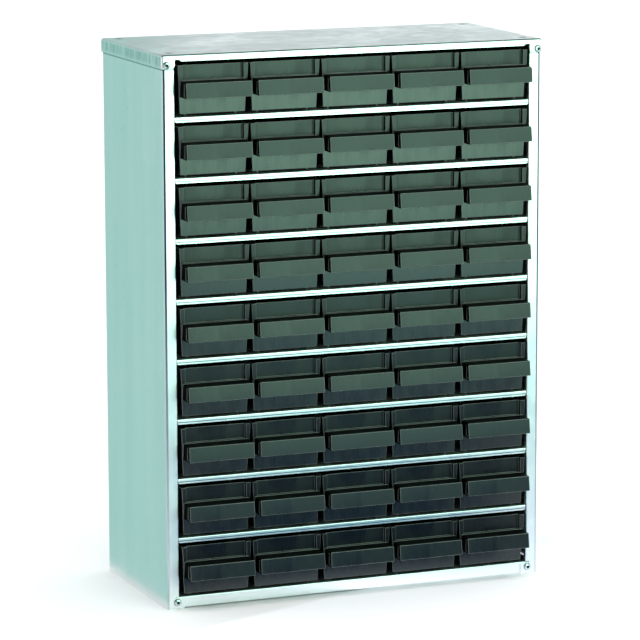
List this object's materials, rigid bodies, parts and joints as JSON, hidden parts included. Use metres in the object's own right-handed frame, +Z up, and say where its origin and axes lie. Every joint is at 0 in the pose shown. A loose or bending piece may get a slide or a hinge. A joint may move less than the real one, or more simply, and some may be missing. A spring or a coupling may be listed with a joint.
{
  "type": "parts organizer",
  "caption": "Small-parts cabinet: bent zinc-plated steel housing with shelves and a grid of dark pull-out plastic drawers, each with a ledge handle and label slot.",
  "frame": {"origin": "bottom centre of the whole object's box, on the surface that the cabinet stands on", "axes": "+Z up, -Y out of the front where the drawers pull out, +X to the right as seen from the front"},
  "size_m": [0.306, 0.15, 0.415],
  "materials": {
    "zinc_steel": "bright zinc-plated sheet, satin",
    "rivet_aluminium": "satin",
    "drawer_plastic": "dark moulded plastic, slight gloss"
  },
  "bodies": {
    "cabinet": {"mantle": "zinc_steel", "top_cap": "zinc_steel", "bottom_pan": "zinc_steel", "shelf_1": "zinc_steel", "shelf_2": "zinc_steel", "shelf_3": "zinc_steel", "shelf_4": "zinc_steel", "shelf_5": "zinc_steel", "shelf_6": "zinc_steel", "shelf_7": "zinc_steel", "shelf_8": "zinc_steel", "rivet_top_left": "rivet_aluminium", "rivet_top_right": "rivet_aluminium", "rivet_foot_left": "rivet_aluminium", "rivet_foot_right": "rivet_aluminium"},
    "drawer_r1c1_body": {"drawer_r1c1": "drawer_plastic"},
    "drawer_r1c2_body": {"drawer_r1c2": "drawer_plastic"},
    "drawer_r1c3_body": {"drawer_r1c3": "drawer_plastic"},
    "drawer_r1c4_body": {"drawer_r1c4": "drawer_plastic"},
    "drawer_r1c5_body": {"drawer_r1c5": "drawer_plastic"},
    "drawer_r2c1_body": {"drawer_r2c1": "drawer_plastic"},
    "drawer_r2c2_body": {"drawer_r2c2": "drawer_plastic"},
    "drawer_r2c3_body": {"drawer_r2c3": "drawer_plastic"},
    "drawer_r2c4_body": {"drawer_r2c4": "drawer_plastic"},
    "drawer_r2c5_body": {"drawer_r2c5": "drawer_plastic"},
    "drawer_r3c1_body": {"drawer_r3c1": "drawer_plastic"},
    "drawer_r3c2_body": {"drawer_r3c2": "drawer_plastic"},
    "drawer_r3c3_body": {"drawer_r3c3": "drawer_plastic"},
    "drawer_r3c4_body": {"drawer_r3c4": "drawer_plastic"},
    "drawer_r3c5_body": {"drawer_r3c5": "drawer_plastic"},
    "drawer_r4c1_body": {"drawer_r4c1": "drawer_plastic"},
    "drawer_r4c2_body": {"drawer_r4c2": "drawer_plastic"},
    "drawer_r4c3_body": {"drawer_r4c3": "drawer_plastic"},
    "drawer_r4c4_body": {"drawer_r4c4": "drawer_plastic"},
    "drawer_r4c5_body": {"drawer_r4c5": "drawer_plastic"},
    "drawer_r5c1_body": {"drawer_r5c1": "drawer_plastic"},
    "drawer_r5c2_body": {"drawer_r5c2": "drawer_plastic"},
    "drawer_r5c3_body": {"drawer_r5c3": "drawer_plastic"},
    "drawer_r5c4_body": {"drawer_r5c4": "drawer_plastic"},
    "drawer_r5c5_body": {"drawer_r5c5": "drawer_plastic"},
    "drawer_r6c1_body": {"drawer_r6c1": "drawer_plastic"},
    "drawer_r6c2_body": {"drawer_r6c2": "drawer_plastic"},
    "drawer_r6c3_body": {"drawer_r6c3": "drawer_plastic"},
    "drawer_r6c4_body": {"drawer_r6c4": "drawer_plastic"},
    "drawer_r6c5_body": {"drawer_r6c5": "drawer_plastic"},
    "drawer_r7c1_body": {"drawer_r7c1": "drawer_plastic"},
    "drawer_r7c2_body": {"drawer_r7c2": "drawer_plastic"},
    "drawer_r7c3_body": {"drawer_r7c3": "drawer_plastic"},
    "drawer_r7c4_body": {"drawer_r7c4": "drawer_plastic"},
    "drawer_r7c5_body": {"drawer_r7c5": "drawer_plastic"},
    "drawer_r8c1_body": {"drawer_r8c1": "drawer_plastic"},
    "drawer_r8c2_body": {"drawer_r8c2": "drawer_plastic"},
    "drawer_r8c3_body": {"drawer_r8c3": "drawer_plastic"},
    "drawer_r8c4_body": {"drawer_r8c4": "drawer_plastic"},
    "drawer_r8c5_body": {"drawer_r8c5": "drawer_plastic"},
    "drawer_r9c1_body": {"drawer_r9c1": "drawer_plastic"},
    "drawer_r9c2_body": {"drawer_r9c2": "drawer_plastic"},
    "drawer_r9c3_body": {"drawer_r9c3": "drawer_plastic"},
    "drawer_r9c4_body": {"drawer_r9c4": "drawer_plastic"},
    "drawer_r9c5_body": {"drawer_r9c5": "drawer_plastic"}
  },
  "joints": [
    {"name": "slide_r1c1", "type": "slide", "parent": "cabinet", "child": "drawer_r1c1_body", "axis": [0, -1, 0], "range_m": [0, 0.12]},
    {"name": "slide_r1c2", "type": "slide", "parent": "cabinet", "child": "drawer_r1c2_body", "axis": [0, -1, 0], "range_m": [0, 0.12]},
    {"name": "slide_r1c3", "type": "slide", "parent": "cabinet", "child": "drawer_r1c3_body", "axis": [0, -1, 0], "range_m": [0, 0.12]},
    {"name": "slide_r1c4", "type": "slide", "parent": "cabinet", "child": "drawer_r1c4_body", "axis": [0, -1, 0], "range_m": [0, 0.12]},
    {"name": "slide_r1c5", "type": "slide", "parent": "cabinet", "child": "drawer_r1c5_body", "axis": [0, -1, 0], "range_m": [0, 0.12]},
    {"name": "slide_r2c1", "type": "slide", "parent": "cabinet", "child": "drawer_r2c1_body", "axis": [0, -1, 0], "range_m": [0, 0.12]},
    {"name": "slide_r2c2", "type": "slide", "parent": "cabinet", "child": "drawer_r2c2_body", "axis": [0, -1, 0], "range_m": [0, 0.12]},
    {"name": "slide_r2c3", "type": "slide", "parent": "cabinet", "child": "drawer_r2c3_body", "axis": [0, -1, 0], "range_m": [0, 0.12]},
    {"name": "slide_r2c4", "type": "slide", "parent": "cabinet", "child": "drawer_r2c4_body", "axis": [0, -1, 0], "range_m": [0, 0.12]},
    {"name": "slide_r2c5", "type": "slide", "parent": "cabinet", "child": "drawer_r2c5_body", "axis": [0, -1, 0], "range_m": [0, 0.12]},
    {"name": "slide_r3c1", "type": "slide", "parent": "cabinet", "child": "drawer_r3c1_body", "axis": [0, -1, 0], "range_m": [0, 0.12]},
    {"name": "slide_r3c2", "type": "slide", "parent": "cabinet", "child": "drawer_r3c2_body", "axis": [0, -1, 0], "range_m": [0, 0.12]},
    {"name": "slide_r3c3", "type": "slide", "parent": "cabinet", "child": "drawer_r3c3_body", "axis": [0, -1, 0], "range_m": [0, 0.12]},
    {"name": "slide_r3c4", "type": "slide", "parent": "cabinet", "child": "drawer_r3c4_body", "axis": [0, -1, 0], "range_m": [0, 0.12]},
    {"name": "slide_r3c5", "type": "slide", "parent": "cabinet", "child": "drawer_r3c5_body", "axis": [0, -1, 0], "range_m": [0, 0.12]},
    {"name": "slide_r4c1", "type": "slide", "parent": "cabinet", "child": "drawer_r4c1_body", "axis": [0, -1, 0], "range_m": [0, 0.12]},
    {"name": "slide_r4c2", "type": "slide", "parent": "cabinet", "child": "drawer_r4c2_body", "axis": [0, -1, 0], "range_m": [0, 0.12]},
    {"name": "slide_r4c3", "type": "slide", "parent": "cabinet", "child": "drawer_r4c3_body", "axis": [0, -1, 0], "range_m": [0, 0.12]},
    {"name": "slide_r4c4", "type": "slide", "parent": "cabinet", "child": "drawer_r4c4_body", "axis": [0, -1, 0], "range_m": [0, 0.12]},
    {"name": "slide_r4c5", "type": "slide", "parent": "cabinet", "child": "drawer_r4c5_body", "axis": [0, -1, 0], "range_m": [0, 0.12]},
    {"name": "slide_r5c1", "type": "slide", "parent": "cabinet", "child": "drawer_r5c1_body", "axis": [0, -1, 0], "range_m": [0, 0.12]},
    {"name": "slide_r5c2", "type": "slide", "parent": "cabinet", "child": "drawer_r5c2_body", "axis": [0, -1, 0], "range_m": [0, 0.12]},
    {"name": "slide_r5c3", "type": "slide", "parent": "cabinet", "child": "drawer_r5c3_body", "axis": [0, -1, 0], "range_m": [0, 0.12]},
    {"name": "slide_r5c4", "type": "slide", "parent": "cabinet", "child": "drawer_r5c4_body", "axis": [0, -1, 0], "range_m": [0, 0.12]},
    {"name": "slide_r5c5", "type": "slide", "parent": "cabinet", "child": "drawer_r5c5_body", "axis": [0, -1, 0], "range_m": [0, 0.12]},
    {"name": "slide_r6c1", "type": "slide", "parent": "cabinet", "child": "drawer_r6c1_body", "axis": [0, -1, 0], "range_m": [0, 0.12]},
    {"name": "slide_r6c2", "type": "slide", "parent": "cabinet", "child": "drawer_r6c2_body", "axis": [0, -1, 0], "range_m": [0, 0.12]},
    {"name": "slide_r6c3", "type": "slide", "parent": "cabinet", "child": "drawer_r6c3_body", "axis": [0, -1, 0], "range_m": [0, 0.12]},
    {"name": "slide_r6c4", "type": "slide", "parent": "cabinet", "child": "drawer_r6c4_body", "axis": [0, -1, 0], "range_m": [0, 0.12]},
    {"name": "slide_r6c5", "type": "slide", "parent": "cabinet", "child": "drawer_r6c5_body", "axis": [0, -1, 0], "range_m": [0, 0.12]},
    {"name": "slide_r7c1", "type": "slide", "parent": "cabinet", "child": "drawer_r7c1_body", "axis": [0, -1, 0], "range_m": [0, 0.12]},
    {"name": "slide_r7c2", "type": "slide", "parent": "cabinet", "child": "drawer_r7c2_body", "axis": [0, -1, 0], "range_m": [0, 0.12]},
    {"name": "slide_r7c3", "type": "slide", "parent": "cabinet", "child": "drawer_r7c3_body", "axis": [0, -1, 0], "range_m": [0, 0.12]},
    {"name": "slide_r7c4", "type": "slide", "parent": "cabinet", "child": "drawer_r7c4_body", "axis": [0, -1, 0], "range_m": [0, 0.12]},
    {"name": "slide_r7c5", "type": "slide", "parent": "cabinet", "child": "drawer_r7c5_body", "axis": [0, -1, 0], "range_m": [0, 0.12]},
    {"name": "slide_r8c1", "type": "slide", "parent": "cabinet", "child": "drawer_r8c1_body", "axis": [0, -1, 0], "range_m": [0, 0.12]},
    {"name": "slide_r8c2", "type": "slide", "parent": "cabinet", "child": "drawer_r8c2_body", "axis": [0, -1, 0], "range_m": [0, 0.12]},
    {"name": "slide_r8c3", "type": "slide", "parent": "cabinet", "child": "drawer_r8c3_body", "axis": [0, -1, 0], "range_m": [0, 0.12]},
    {"name": "slide_r8c4", "type": "slide", "parent": "cabinet", "child": "drawer_r8c4_body", "axis": [0, -1, 0], "range_m": [0, 0.12]},
    {"name": "slide_r8c5", "type": "slide", "parent": "cabinet", "child": "drawer_r8c5_body", "axis": [0, -1, 0], "range_m": [0, 0.12]},
    {"name": "slide_r9c1", "type": "slide", "parent": "cabinet", "child": "drawer_r9c1_body", "axis": [0, -1, 0], "range_m": [0, 0.12]},
    {"name": "slide_r9c2", "type": "slide", "parent": "cabinet", "child": "drawer_r9c2_body", "axis": [0, -1, 0], "range_m": [0, 0.12]},
    {"name": "slide_r9c3", "type": "slide", "parent": "cabinet", "child": "drawer_r9c3_body", "axis": [0, -1, 0], "range_m": [0, 0.12]},
    {"name": "slide_r9c4", "type": "slide", "parent": "cabinet", "child": "drawer_r9c4_body", "axis": [0, -1, 0], "range_m": [0, 0.12]},
    {"name": "slide_r9c5", "type": "slide", "parent": "cabinet", "child": "drawer_r9c5_body", "axis": [0, -1, 0], "range_m": [0, 0.12]}
  ]
}
